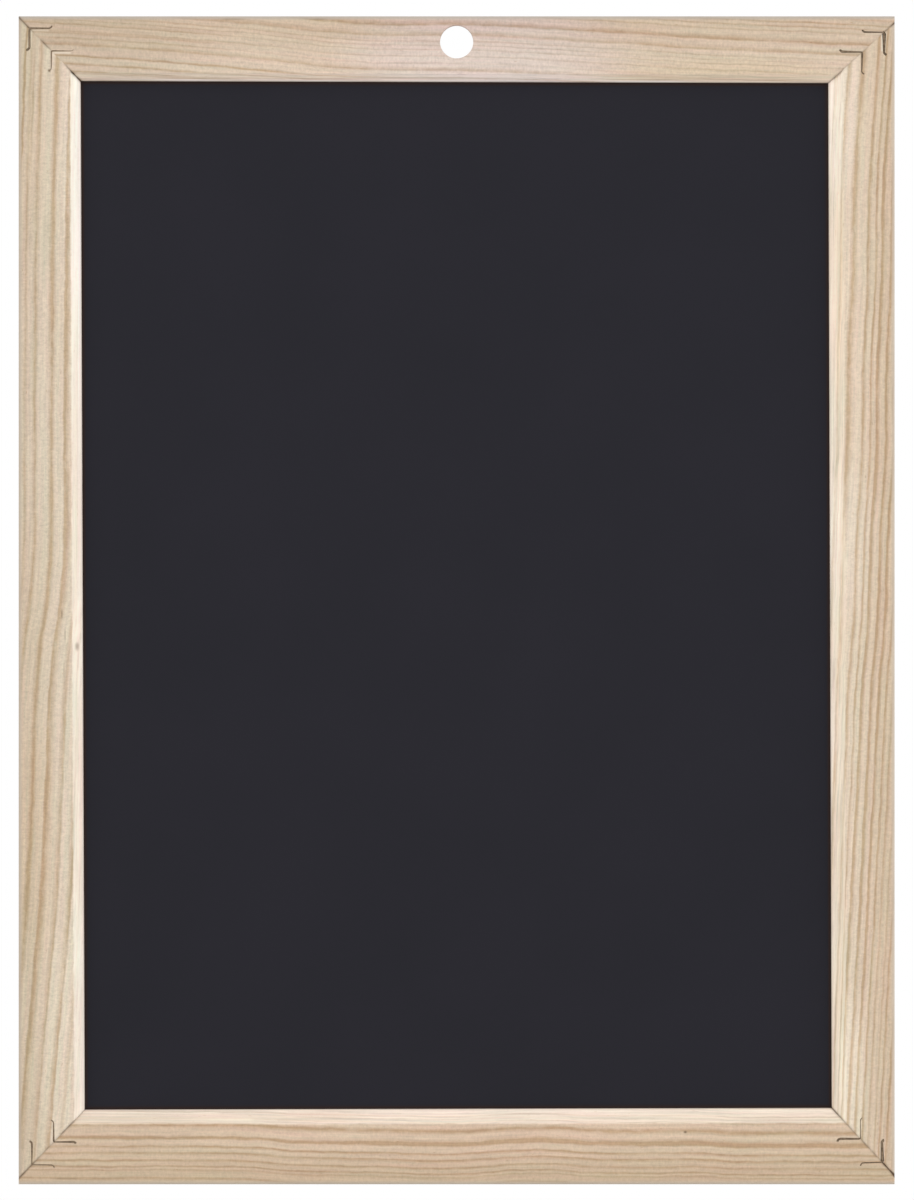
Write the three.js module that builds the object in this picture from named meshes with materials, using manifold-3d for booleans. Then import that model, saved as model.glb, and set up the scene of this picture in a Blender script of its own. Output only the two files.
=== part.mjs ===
// A small writing board that hangs on a nail. Four pine members are mitred together round a thin
// panel, which sits in a groove along their inner edges. The panel is a hardboard core with a black
// writing sheet on its front and a white one on its back. Two bent steel V-nails, pressed in from
// the front, hold each mitre, and the board hangs by a round hole through its top rail.
//
// Millimetres. +X is to the right and +Z is up, as seen from the front, and the front faces -Y.
// The origin is the centre of the hanging hole, on the back face, where the wall is.

import * as THREE from 'three';
import { mergeVertices } from 'three/addons/utils/BufferGeometryUtils.js';
import Module from 'manifold-3d';

const wasm = await Module();
wasm.setup();

// Overall size of the frame
const frameWidth = 300;
const frameHeight = 400;

// The panel and its layers
const coreThickness = 2.4;
const sheetThickness = 0.3;
const panelBite = 5; // how far the panel reaches into the members
const panelClearance = 0.3; // round the panel in its groove

// The section that the members share
const lipThickness = 4.2; // wood in front of the groove, and behind it
const lipLand = 1; // square edge left under each bevel
const backBevel = 3.6;
const arrisRadius = 0.8; // rounding of the two outer edges

// Widths of the members. Each is a little wider at one end, as the real ones are.
const leftStileFoot = 22.6;
const leftStileHead = 21.2;
const topRailLeft = 22.1;
const topRailRight = 22.8;
const rightStileHead = 22.7;
const rightStileFoot = 21.5;
const bottomRailRight = 26.1;
const bottomRailLeft = 25.5;

// Front bevels, which slope down to the panel
const leftBevel = 3.6;
const topBevel = 2.8;
const rightBevel = 5.1;
const bottomBevel = 5.1;

// The mitre line meets the outer edge of the stile one heel short of the corner, because the rails
// are wider or were cut a little off 45 degrees.
const topLeftHeel = 0.3;
const topRightHeel = 2.2;
const bottomRightHeel = 3;
const bottomLeftHeel = 2;
const mitreGap = 0.3; // the open line of each mitre

// V-nails: one strip of steel, bent square, with both ends curled outwards
const nailThickness = 0.45;
const nailHeight = 7;
const nailLeg = 7; // straight part of each leg
const curlRadius = 1.2;
const curlAngle = THREE.MathUtils.degToRad(75);
const topLeftSetback = 3.7; // from the outer edge of the stile to the outer nail's bend
const topRightSetback = 3.6;
const bottomRightSetback = 4.2;
const bottomLeftSetback = 4.5;
const nailPitch = 7.5; // from the outer nail to the inner one, square to the stile
const nailSunk = 0.5; // below the front face
const nailClearance = 0.25; // round the nail in its slot

// The hanging hole, in the middle of the top rail
const holeDiameter = 11.4;
const holeTopWall = 3; // wood left above it

// Counts of flats on round stretches, and how far a cutter runs past what it cuts
const arrisFlats = 4;
const curlFlats = 4;
const holeFlats = 48;
const overcut = 1;

// The members, clockwise from the left stile as seen from the front, each with its width at the
// corner where it starts and at the corner where it ends.
const members = [
  { name: 'left_stile', startWidth: leftStileFoot, endWidth: leftStileHead, frontBevel: leftBevel },
  { name: 'top_rail', startWidth: topRailLeft, endWidth: topRailRight, frontBevel: topBevel },
  { name: 'right_stile', startWidth: rightStileHead, endWidth: rightStileFoot, frontBevel: rightBevel },
  { name: 'bottom_rail', startWidth: bottomRailRight, endWidth: bottomRailLeft, frontBevel: bottomBevel },
];

// The corners, each between the end of one member and the start of the next.
const corners = [
  { name: 'top_left', heel: topLeftHeel, nailSetback: topLeftSetback },
  { name: 'top_right', heel: topRightHeel, nailSetback: topRightSetback },
  { name: 'bottom_right', heel: bottomRightHeel, nailSetback: bottomRightSetback },
  { name: 'bottom_left', heel: bottomLeftHeel, nailSetback: bottomLeftSetback },
];

// Sizes that follow from those above
const grooveWidth = coreThickness + 2 * sheetThickness + 2 * panelClearance;
const grooveDepth = panelBite + panelClearance;
const frameThickness = grooveWidth + 2 * lipThickness;
const bevelDepth = lipThickness - lipLand;
const frontFace = -frameThickness;
const holeDrop = holeTopWall + holeDiameter / 2;
const quarterTurn = Math.PI / 2;

const pine = new THREE.MeshStandardMaterial({ color: 0xd4bfa6, roughness: 0.65, metalness: 0 });
const hardboard = new THREE.MeshStandardMaterial({ color: 0x6b4f39, roughness: 0.8, metalness: 0 });
const blackSheet = new THREE.MeshStandardMaterial({ color: 0x2c2b30, roughness: 0.85, metalness: 0 });
const whiteSheet = new THREE.MeshStandardMaterial({ color: 0xf2f3f1, roughness: 0.2, metalness: 0 });
const steel = new THREE.MeshStandardMaterial({ color: 0x55504a, roughness: 0.5, metalness: 1 });

// A geometry as a solid that can be cut, and back again.
function solidFrom(geometry) {
  geometry.deleteAttribute('normal');
  geometry.deleteAttribute('uv');
  const welded = mergeVertices(geometry);
  const vertProperties = Float32Array.from(welded.attributes.position.array);
  const triVerts = Uint32Array.from(welded.index.array);
  return new wasm.Manifold(new wasm.Mesh({ numProp: 3, vertProperties, triVerts }));
}

function geometryFrom(solid) {
  const { vertProperties, triVerts } = solid.getMesh();
  const geometry = new THREE.BufferGeometry();
  geometry.setAttribute('position', new THREE.BufferAttribute(vertProperties, 3));
  geometry.setIndex(new THREE.BufferAttribute(triVerts, 1));
  geometry.computeVertexNormals();
  return geometry;
}

// An outline in the plane of the board, x to the right and y up, given thickness from one depth
// to another. Depth is along Y, so the front of the board is the lower number.
function slab(outline, front, back) {
  const geometry = new THREE.ExtrudeGeometry(new THREE.Shape(outline), {
    depth: back - front,
    bevelEnabled: false,
  });
  geometry.rotateX(quarterTurn);
  geometry.translate(0, back, 0);
  return geometry;
}

// The corner that a member starts at, and the member that starts at a corner.
const startCorner = (index) => (index + 3) % 4;
const nextMember = (cornerIndex) => (cornerIndex + 1) % 4;

function memberLength(index) {
  return index % 2 === 0 ? frameHeight : frameWidth;
}

// Half the distance across the frame, from the member to the one opposite.
function memberOffset(index) {
  return index % 2 === 0 ? frameWidth / 2 : frameHeight / 2;
}

// The widths of the stile and of the rail that meet at a corner. Stiles and rails take turns round
// the frame, and the first member is a stile.
function widthsAt(cornerIndex) {
  const ending = members[cornerIndex].endWidth;
  const starting = members[nextMember(cornerIndex)].startWidth;
  return cornerIndex % 2 === 0
    ? { stile: ending, rail: starting }
    : { stile: starting, rail: ending };
}

// A point on a corner's mitre line, as its distances in from the outer edges of the member that
// ends there and of the one that starts there. Its place is a share of the line, from 0 at the
// outer edge of the stile to 1 at the corner of the opening.
function mitrePoint(cornerIndex, share) {
  const { stile, rail } = widthsAt(cornerIndex);
  const { heel } = corners[cornerIndex];
  const fromStileEdge = stile * share;
  const fromRailEdge = heel + (rail - heel) * share;
  return cornerIndex % 2 === 0
    ? { fromEnding: fromStileEdge, fromStarting: fromRailEdge }
    : { fromEnding: fromRailEdge, fromStarting: fromStileEdge };
}

// The same point in a member's own frame: x in from its outer edge, y along it from its middle.
// One is for the corner where the member ends, and one for the corner where it starts.
function atEnd(index, share) {
  const { fromEnding, fromStarting } = mitrePoint(index, share);
  return new THREE.Vector2(fromEnding, memberLength(index) / 2 - fromStarting);
}

function atStart(index, share) {
  const { fromEnding, fromStarting } = mitrePoint(startCorner(index), share);
  return new THREE.Vector2(fromStarting, fromEnding - memberLength(index) / 2);
}

// Section of a member: outer edge at x = 0, inner edge with the groove at x = width.
function memberSection(width, frontBevel) {
  const grooveFront = -(lipThickness + grooveWidth);
  const section = new THREE.Shape();
  section.moveTo(arrisRadius, frontFace);
  section.lineTo(width - frontBevel, frontFace);
  section.lineTo(width, frontFace + bevelDepth);
  section.lineTo(width, grooveFront);
  section.lineTo(width - grooveDepth, grooveFront);
  section.lineTo(width - grooveDepth, -lipThickness);
  section.lineTo(width, -lipThickness);
  section.lineTo(width, -bevelDepth);
  section.lineTo(width - backBevel, 0);
  section.lineTo(arrisRadius, 0);
  section.absarc(arrisRadius, -arrisRadius, arrisRadius, quarterTurn, 2 * quarterTurn);
  section.lineTo(0, frontFace + arrisRadius);
  section.absarc(arrisRadius, frontFace + arrisRadius, arrisRadius, 2 * quarterTurn, 3 * quarterTurn);
  return section;
}

// The section run along the member, with its inner edge drifting from one width to the other.
function memberStick(index) {
  const { startWidth, endWidth, frontBevel } = members[index];
  const length = memberLength(index);
  const stick = new THREE.ExtrudeGeometry(memberSection(startWidth, frontBevel), {
    depth: length,
    bevelEnabled: false,
    curveSegments: arrisFlats,
  });
  stick.translate(0, 0, -length / 2);
  const innerStart = atStart(index, 1).y;
  const innerEnd = atEnd(index, 1).y;
  const drift = (endWidth - startWidth) / (innerEnd - innerStart);
  const position = stick.attributes.position;
  for (let i = 0; i < position.count; i += 1) {
    const x = position.getX(i);
    if (x > startWidth / 2) {
      position.setX(i, x + drift * (position.getZ(i) - innerStart));
    }
  }
  return solidFrom(stick);
}

// What the two mitre cuts leave of a member, as a slab past its faces and edges. Each mitre line is
// drawn out by its own length at both ends, so that a rail keeps the square heel at its outer edge.
function mitredExtent(index) {
  const halfGap = new THREE.Vector2(0, (mitreGap / 2) * Math.SQRT2);
  const outline = [
    atStart(index, -1).add(halfGap),
    atStart(index, 2).add(halfGap),
    atEnd(index, 2).sub(halfGap),
    atEnd(index, -1).sub(halfGap),
  ];
  return solidFrom(slab(outline, frontFace - overcut, overcut));
}

// Centre line of a V-nail in the own frame of the member that ends at its corner, with the bend at
// the origin: one leg runs back down that member, the other along the next one.
function nailPath() {
  const leg = [];
  for (let i = curlFlats; i >= 0; i -= 1) {
    const turn = (curlAngle * i) / curlFlats;
    const along = nailLeg + curlRadius * Math.sin(turn);
    const aside = curlRadius * (1 - Math.cos(turn));
    leg.push(new THREE.Vector2(-aside, -along));
  }
  const mirrored = leg.map((point) => new THREE.Vector2(-point.y, -point.x)).reverse();
  return [...leg, new THREE.Vector2(0, 0), ...mirrored];
}

// A strip of even thickness along a path, with a little more length at both ends if asked.
function stripOutline(path, thickness, extra) {
  const last = path.length - 1;
  const directions = path.slice(1).map((point, i) => point.clone().sub(path[i]).normalize());
  const line = path.map((point) => point.clone());
  line[0].addScaledVector(directions[0], -extra);
  line[last].addScaledVector(directions[last - 1], extra);
  const edge = (aside) =>
    line.map((point, i) => {
      const before = directions[Math.max(i - 1, 0)];
      const after = directions[Math.min(i, last - 1)];
      const across = new THREE.Vector2(-before.y - after.y, before.x + after.x);
      return point.clone().addScaledVector(across, aside / (1 + before.dot(after)));
    });
  return [...edge(thickness / 2), ...edge(-thickness / 2).reverse()];
}

function nailGeometry() {
  const top = frontFace + nailSunk;
  return slab(stripOutline(nailPath(), nailThickness, 0), top, top + nailHeight);
}

// The slot that a V-nail lies in, open at the front face.
function nailSlot() {
  const outline = stripOutline(nailPath(), nailThickness + 2 * nailClearance, nailClearance);
  const floor = frontFace + nailSunk + nailHeight + nailClearance;
  return slab(outline, frontFace - overcut, floor);
}

// Places of a corner's V-nails on its mitre line, the outer one first.
function nailShares(cornerIndex) {
  const { nailSetback } = corners[cornerIndex];
  const { stile } = widthsAt(cornerIndex);
  return [nailSetback / stile, (nailSetback + nailPitch) / stile];
}

function placedSlot(spot, turn) {
  const slot = nailSlot();
  slot.rotateY(turn);
  slot.translate(spot.x, 0, spot.y);
  return solidFrom(slot);
}

// The slots at both ends of a member, in its own frame.
function memberNailSlots(index) {
  const ending = nailShares(index).map((share) => placedSlot(atEnd(index, share), 0));
  const starting = nailShares(startCorner(index)).map((share) =>
    placedSlot(atStart(index, share), -quarterTurn),
  );
  return [...ending, ...starting];
}

function hangingHole() {
  const cutter = new THREE.CylinderGeometry(
    holeDiameter / 2,
    holeDiameter / 2,
    frameThickness + 2 * overcut,
    holeFlats,
  );
  cutter.translate(holeDrop, -frameThickness / 2, 0);
  return solidFrom(cutter);
}

function buildMember(index) {
  let solid = memberStick(index).intersect(mitredExtent(index));
  for (const slot of memberNailSlots(index)) solid = solid.subtract(slot);
  if (members[index].name === 'top_rail') solid = solid.subtract(hangingHole());
  const mesh = new THREE.Mesh(geometryFrom(solid), pine);
  mesh.name = members[index].name;
  mesh.position.x = -memberOffset(index);
  return mesh;
}

// The two V-nails of the corner where a member ends, beside that member.
function buildCornerNails(index) {
  const places = ['outer', 'inner'];
  return nailShares(index).map((share, i) => {
    const spot = atEnd(index, share);
    const mesh = new THREE.Mesh(nailGeometry(), steel);
    mesh.name = `v_nail_${corners[index].name}_${places[i]}`;
    mesh.position.set(spot.x - memberOffset(index), 0, spot.y);
    return mesh;
  });
}

// One member with the nails of its end corner, turned to its side of the frame.
function buildSide(index) {
  const side = new THREE.Group();
  side.rotation.y = index * quarterTurn;
  side.add(buildMember(index), ...buildCornerNails(index));
  return side;
}

// The panel's outline, about the middle of the frame. Each edge reaches into its groove by the
// bite where the member is widest.
function panelOutline() {
  const [left, top, right, bottom] = members.map(
    ({ startWidth, endWidth }, index) =>
      memberOffset(index) - Math.max(startWidth, endWidth) + panelBite,
  );
  return [
    new THREE.Vector2(-left, -bottom),
    new THREE.Vector2(right, -bottom),
    new THREE.Vector2(right, top),
    new THREE.Vector2(-left, top),
  ];
}

// The panel's layers, from the back sheet to the front one, face to face.
function buildPanel() {
  const panel = new THREE.Group();
  const layers = [
    { name: 'back_writing_sheet', thickness: sheetThickness, material: whiteSheet },
    { name: 'panel_core', thickness: coreThickness, material: hardboard },
    { name: 'front_writing_sheet', thickness: sheetThickness, material: blackSheet },
  ];
  let back = -(lipThickness + panelClearance);
  for (const { name, thickness, material } of layers) {
    const mesh = new THREE.Mesh(slab(panelOutline(), back - thickness, back), material);
    mesh.name = name;
    panel.add(mesh);
    back -= thickness;
  }
  return panel;
}

const board = new THREE.Group();
board.position.z = holeDrop - frameHeight / 2;
board.add(...members.map((member, index) => buildSide(index)), buildPanel());

export default board;
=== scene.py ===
# %% [markdown]
# A small writing board in a pine frame
#
# Four pine members are mitred together round a thin panel. The panel has a matt black writing
# sheet on its front and a glossy white one on its back, and two bent steel V-nails hold each
# corner. The board hangs by a round hole in its top rail.
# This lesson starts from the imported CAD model, which fixes every place and size, and gives each
# piece its fine shape and its finish.

import math

import bmesh
import bpy
from mathutils import Matrix, Vector

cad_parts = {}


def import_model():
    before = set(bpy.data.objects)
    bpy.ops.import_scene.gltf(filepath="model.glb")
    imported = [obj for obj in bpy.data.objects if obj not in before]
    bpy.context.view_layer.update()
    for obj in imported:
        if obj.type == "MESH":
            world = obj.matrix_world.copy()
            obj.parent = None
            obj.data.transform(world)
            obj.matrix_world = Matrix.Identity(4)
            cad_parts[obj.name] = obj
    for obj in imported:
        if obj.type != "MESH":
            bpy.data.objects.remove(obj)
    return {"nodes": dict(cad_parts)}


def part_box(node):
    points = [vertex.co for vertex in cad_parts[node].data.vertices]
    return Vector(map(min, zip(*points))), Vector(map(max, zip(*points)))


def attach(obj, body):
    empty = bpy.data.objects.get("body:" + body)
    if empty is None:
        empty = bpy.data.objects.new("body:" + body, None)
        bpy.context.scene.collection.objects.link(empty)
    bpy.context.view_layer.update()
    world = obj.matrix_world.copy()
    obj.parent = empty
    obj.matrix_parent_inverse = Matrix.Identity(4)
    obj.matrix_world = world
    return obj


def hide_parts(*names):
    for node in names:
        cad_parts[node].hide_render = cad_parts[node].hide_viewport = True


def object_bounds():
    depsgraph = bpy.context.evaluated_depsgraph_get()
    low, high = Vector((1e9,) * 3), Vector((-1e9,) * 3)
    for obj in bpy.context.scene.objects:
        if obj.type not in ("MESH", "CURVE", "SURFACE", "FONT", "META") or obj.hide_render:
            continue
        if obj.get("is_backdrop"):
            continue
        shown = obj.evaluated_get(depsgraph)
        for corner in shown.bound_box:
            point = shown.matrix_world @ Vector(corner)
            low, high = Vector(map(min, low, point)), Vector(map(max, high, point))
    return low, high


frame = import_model()
cad_low, cad_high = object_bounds()
MM = 0.001
WIDTH, DEPTH, HEIGHT = (cad_high - cad_low) / MM
print(f"the board is {WIDTH:.1f} by {HEIGHT:.1f} mm and {DEPTH:.1f} mm thick")

# %% [markdown]
# Sizes of the frame
#
# The sizes are in millimetres, and each member has its own widths, as real ones do. The members go
# clockwise from the left stile, and each corner lies between the end of one member and the start
# of the next.
# Each member is shaped in a frame of its own: x goes in from its outer edge, y is the depth with
# the front at the lower number, and z runs along it from its start.

# %% Sizes of the frame
MEMBERS = [
    {"name": "left_stile", "start": 22.6, "end": 21.2, "bevel": 3.6},
    {"name": "top_rail", "start": 22.1, "end": 22.8, "bevel": 2.8},
    {"name": "right_stile", "start": 22.7, "end": 21.5, "bevel": 5.1},
    {"name": "bottom_rail", "start": 26.1, "end": 25.5, "bevel": 5.1},
]
CORNERS = [
    {"name": "top_left", "heel": 0.3, "setback": 3.7},
    {"name": "top_right", "heel": 2.2, "setback": 3.6},
    {"name": "bottom_right", "heel": 3.0, "setback": 4.2},
    {"name": "bottom_left", "heel": 2.0, "setback": 4.5},
]
FRONT = -DEPTH
LIP = 4.2
GROOVE_WIDTH = DEPTH - 2 * LIP
GROOVE_DEPTH = 5.3
BEVEL_DEPTH = 3.2
BACK_BEVEL = 3.6
ARRIS = 0.8
LIP_EASE = 0.3
BEVEL_EASE = 0.2
MITRE_GAP = 0.02
HOLE_DIAMETER = 11.4
HOLE_RIM = 0.1
NAIL_PITCH = 7.5


def is_stile(index):
    """True for a stile, and for a corner that a stile ends at."""
    return index % 2 == 0


def before(index):
    """The number of the member, or of the corner, one step back."""
    return (index - 1) % len(MEMBERS)


def length_of(index):
    return HEIGHT if is_stile(index) else WIDTH


def widths_at(corner):
    """Widths of the stile and of the rail that meet at a corner."""
    ending = MEMBERS[corner]["end"]
    starting = MEMBERS[(corner + 1) % len(MEMBERS)]["start"]
    return (ending, starting) if is_stile(corner) else (starting, ending)


def mitre_point(corner, share):
    """A point of a mitre line, as its distances in from the ending and the starting member."""
    stile, rail = widths_at(corner)
    heel = CORNERS[corner]["heel"]
    from_stile_edge = stile * share
    from_rail_edge = heel + (rail - heel) * share
    if is_stile(corner):
        return from_stile_edge, from_rail_edge
    return from_rail_edge, from_stile_edge


def at_end(index, share):
    """The same point in the frame of the member that ends at the corner, at depth 0."""
    across, back = mitre_point(index, share)
    return Vector((across, 0, length_of(index) - back))


def at_start(index, share):
    """The same point in the frame of the member that starts at the corner, at depth 0."""
    along, across = mitre_point(before(index), share)
    return Vector((across, 0, along))


for index, member in enumerate(MEMBERS):
    span = (at_end(index, 1) - at_start(index, 1)).length
    print(f"{member['name']} shows {span:.1f} mm of inner edge")

# %% [markdown]
# Tools for the hand work
#
# The pieces are modelled as by hand: a primitive is added, shaped in edit mode and finished with
# modifiers. These few helpers select things by their place, because no one clicks here. The last
# one turns a member's own frame into the board's.

# %% Tools for the hand work
QUARTER = math.pi / 2
# Places that are closer than this count as one, in millimetres.
SAME = 1e-3
CUT_TOLERANCE = 1e-5
SMOOTH_ANGLE = math.radians(35)
OUTSIDE_CORNERS = [
    Vector((cad_low.x, 0, cad_low.z)),
    Vector((cad_low.x, 0, cad_high.z)),
    Vector((cad_high.x, 0, cad_high.z)),
    Vector((cad_high.x, 0, cad_low.z)),
]


def start_fresh():
    """Leaves edit mode and deselects everything."""
    if bpy.context.mode != "OBJECT":
        bpy.ops.object.mode_set(mode="OBJECT")
    bpy.ops.object.select_all(action="DESELECT")


def open_new(name):
    """Names the piece that was just added, applies its size and place, and opens it."""
    piece = bpy.context.object
    piece.name = name
    bpy.ops.object.transform_apply()
    bpy.ops.object.mode_set(mode="EDIT")
    return piece


def add_block(name, low, high):
    """A cube stretched between two opposite corners, left in edit mode with all of it selected."""
    start_fresh()
    low, high = Vector(low), Vector(high)
    bpy.ops.mesh.primitive_cube_add(size=1, location=(low + high) / 2, scale=high - low)
    return open_new(name)


def choose(piece):
    """Leaves edit mode with one piece selected and active."""
    start_fresh()
    piece.select_set(True)
    bpy.context.view_layer.objects.active = piece


def edit(piece):
    """Opens a piece in edit mode."""
    choose(piece)
    bpy.ops.object.mode_set(mode="EDIT")


def pick(kind, test):
    """Selects the vertices, edges or faces of the open mesh that pass a test, and counts them."""
    bpy.ops.mesh.select_mode(type=kind.upper()[:-1])
    bpy.ops.mesh.select_all(action="DESELECT")
    mesh = bpy.context.object.data
    open_mesh = bmesh.from_edit_mesh(mesh)
    chosen = [part for part in getattr(open_mesh, kind) if test(part)]
    for part in chosen:
        part.select_set(True)
    open_mesh.select_flush_mode()
    bmesh.update_edit_mesh(mesh)
    return len(chosen)


def slice_off(point, normal):
    """Cuts the open mesh at a plane, removes what lies beyond it and closes the cut."""
    bpy.ops.mesh.select_all(action="SELECT")
    bpy.ops.mesh.bisect(plane_co=point, plane_no=normal, use_fill=True, clear_outer=True,
                        threshold=CUT_TOLERANCE)


def extrude(step):
    """Pulls the selected faces out by a step."""
    bpy.ops.mesh.extrude_region_move(TRANSFORM_OT_translate={"value": step})


def stretch(shares, centre):
    """Stretches what is selected away from a centre."""
    bpy.ops.transform.resize(value=shares, center_override=centre)


def round_over(offset, segments):
    """Rounds the selected edges."""
    bpy.ops.mesh.bevel(offset=offset, segments=segments, profile=0.5, affect="EDGES")


def apply_modifiers(piece):
    choose(piece)
    for modifier in list(piece.modifiers):
        bpy.ops.object.modifier_apply(modifier=modifier.name)


def even_shading(piece):
    """Smooth shading that leaves the large flat faces flat. It also tells how many faces there are."""
    choose(piece)
    bpy.ops.object.shade_smooth_by_angle(angle=SMOOTH_ANGLE)
    weighted = piece.modifiers.new("even normals", "WEIGHTED_NORMAL")
    weighted.keep_sharp = True
    apply_modifiers(piece)
    print(f"{piece.name}: {len(piece.data.polygons)} faces")


def settle(piece, spot=(0, 0, 0), turn=0, scale=1):
    """Turns, scales and moves a piece, and leaves its object at the origin."""
    choose(piece)
    piece.rotation_euler = (0, turn, 0)
    piece.scale = (scale, scale, scale)
    piece.location = spot
    bpy.ops.object.transform_apply()


def place(piece, index):
    """Moves a piece from a member's own frame to the board's."""
    settle(piece, OUTSIDE_CORNERS[index], QUARTER * index, MM)


# %% [markdown]
# The frame members
#
# A real member is a stick of pine that a moulder has bevelled, grooved and rounded, and a saw has
# then mitred. The same order works here. A block is bevelled by two sloping cuts, the groove is a
# strip of the inner face that is extruded inwards, and the mitres come last. The outer edges are
# rounded, and the sharp ones are only eased.
# The saw keeps the square heel of each rail, because the mitre line meets the stile's outer edge a
# little short of the corner.

# %% The frame members
def inner_edge(index):
    """The line of a member's inner edge, as a point on it and its direction."""
    start, end = at_start(index, 1), at_end(index, 1)
    return start, (end - start).normalized()


def cut_bevel(index, width, face, into):
    """Cuts the sloping bevel between a face and the inner edge. Into is the way from the face."""
    start, direction = inner_edge(index)
    low_point = start + Vector((0, face + into * BEVEL_DEPTH, 0))
    slope = Vector((-width, -into * BEVEL_DEPTH, 0))
    normal = slope.cross(direction).normalized()
    if normal.x < 0:
        normal = -normal
    slice_off(low_point, normal)


def cut_mitres(index):
    """Saws both ends off at their mitre lines."""
    for spot, outwards in ((at_start, -1), (at_end, 1)):
        outer, inner = spot(index, 0), spot(index, 1)
        line = inner - outer
        normal = Vector((abs(line.z), 0, outwards * abs(line.x))).normalized()
        slice_off(outer - normal * MITRE_GAP / 2, normal)


def looks_inwards(face):
    """True for a face that looks straight at the panel."""
    return face.normal.x > 0.99


def lies_at(vertex, *depths):
    """True for a vertex at one of the depths."""
    return min(abs(vertex.co.y - depth) for depth in depths) < SAME


def shape_member(index):
    member = MEMBERS[index]
    length = length_of(index)
    start, direction = inner_edge(index)
    taper = direction.x / direction.z
    width_at_foot = start.x - taper * start.z
    piece = add_block(member["name"] + "_wood", (0, FRONT, 0), (width_at_foot, 0, length))
    pick("verts", lambda v: v.co.x > SAME and v.co.z > length / 2)
    bpy.ops.transform.translate(value=(taper * length, 0, 0))
    cut_bevel(index, member["bevel"], FRONT, 1)
    cut_bevel(index, BACK_BEVEL, 0, -1)
    for depth in (-LIP, -LIP - GROOVE_WIDTH):
        pick("faces", looks_inwards)
        bpy.ops.mesh.bisect(plane_co=(0, depth, 0), plane_no=(0, 1, 0), threshold=CUT_TOLERANCE)
    middle = -LIP - GROOVE_WIDTH / 2
    pick("faces", lambda f: looks_inwards(f) and abs(f.calc_center_median().y - middle) < SAME)
    extrude((-GROOVE_DEPTH, 0, 0))
    cut_mitres(index)
    return piece


def is_arris(edge, length):
    """True for the long outer edges, and for the ends of a rail's square heels."""
    if not any(all(lies_at(v, depth) for v in edge.verts) for depth in (FRONT, 0)):
        return False
    outer = all(v.co.x < SAME for v in edge.verts)
    heel = all(v.co.z < SAME or v.co.z > length - SAME for v in edge.verts)
    return outer or (heel and edge.calc_length() < length / 2)


def is_lip_edge(edge, length):
    """True for the long edge where a bevel meets the square land above the panel."""
    along_lip = all(lies_at(v, FRONT + BEVEL_DEPTH, -BEVEL_DEPTH) for v in edge.verts)
    return along_lip and edge.calc_length() > length / 2


def is_bevel_line(edge, length):
    """True for the long edge where a bevel meets the front or the back face."""
    inner = all(lies_at(v, FRONT, 0) and v.co.x > 2 * ARRIS for v in edge.verts)
    return inner and edge.calc_length() > length / 2


def ease_member(piece, index):
    length = length_of(index)
    edit(piece)
    arrises = pick("edges", lambda e: is_arris(e, length))
    round_over(ARRIS, 5)
    lips = pick("edges", lambda e: is_lip_edge(e, length))
    round_over(LIP_EASE, 3)
    lines = pick("edges", lambda e: is_bevel_line(e, length))
    round_over(BEVEL_EASE, 2)
    start_fresh()
    print(f"{piece.name}: {arrises} outer edges rounded, {lips} lips and {lines} bevel lines eased")


wood = []
for index in range(len(MEMBERS)):
    piece = shape_member(index)
    ease_member(piece, index)
    wood.append(piece)

# %% [markdown]
# The V-nails
#
# A V-nail is a strip of steel bent square, with both ends curled so that it draws the joint tight.
# A face of the strip's section is spun round the bend, extruded along each leg and spun again for
# each curl. The same function makes the slot that the nail has cut for itself, a little thicker
# and open at the front.
# No two nails in the corners look alike, so each has its own leg lengths, lean and curls.

# %% The V-nails
def under(columns, table):
    """Names the values in each row of a table after its columns."""
    return {name: dict(zip(columns, row)) for name, row in table.items()}


NAIL = {"thickness": 0.46, "height": 7.0, "sunk": 0.12, "edge": 0.05}
BEND_RADIUS = 0.5
CURL_RADIUS = 1.1
SLOT_RISE = 1
WELD = 1e-4
SHARP_ANGLE = math.radians(60)
# Each pair is for the leg in the stile and the leg in the rail. A curl is in degrees. Near and far
# are a leg's thickness by the bend and at its end, as shares of the strip's. Room is the slot's
# clearance on each side, and pressed is how pale the wood beside a leg has been pressed. A slot's
# cutter rises out of the front face.
NAIL_SHAPES = under(("legs", "curls", "near", "far", "lean", "room", "pressed"), {
    "top_left_outer": ((6.3, 6.6), (85, 75), (1.15, 1.05), (1.25, 0.85), 0, 0.07, (0.4, 0.6)),
    "top_left_inner": ((5.8, 6.6), (40, 55), (0.95, 0.95), (0.55, 0.4), 0.5, 0.03, (0.3, 1)),
    "top_right_outer": ((6.6, 6.4), (70, 60), (1.5, 0.45), (0.9, 0.7), 0.5, 0.19, (1.3, 0.5)),
    "top_right_inner": ((6.4, 6.6), (75, 65), (1.2, 0.85), (0.65, 1.3), 1.5, 0.08, (0, 0)),
    "bottom_right_outer": ((6.6, 6.4), (65, 75), (1.7, 0.55), (1.15, 0.6), -1.5, 0.12, (0.5, 0)),
    "bottom_right_inner": ((6.2, 6.8), (65, 80), (0.5, 1.2), (0.5, 1.5), 0, 0.04, (0.2, 0.3)),
    "bottom_left_outer": ((7, 6.6), (75, 80), (0.6, 0.65), (1.3, 0.75), 0.5, 0.03, (0.2, 0.2)),
    "bottom_left_inner": ((6.4, 6.6), (80, 60), (1.15, 0.7), (0.7, 1.4), -0.5, 0.04, (0.4, 0)),
})


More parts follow.
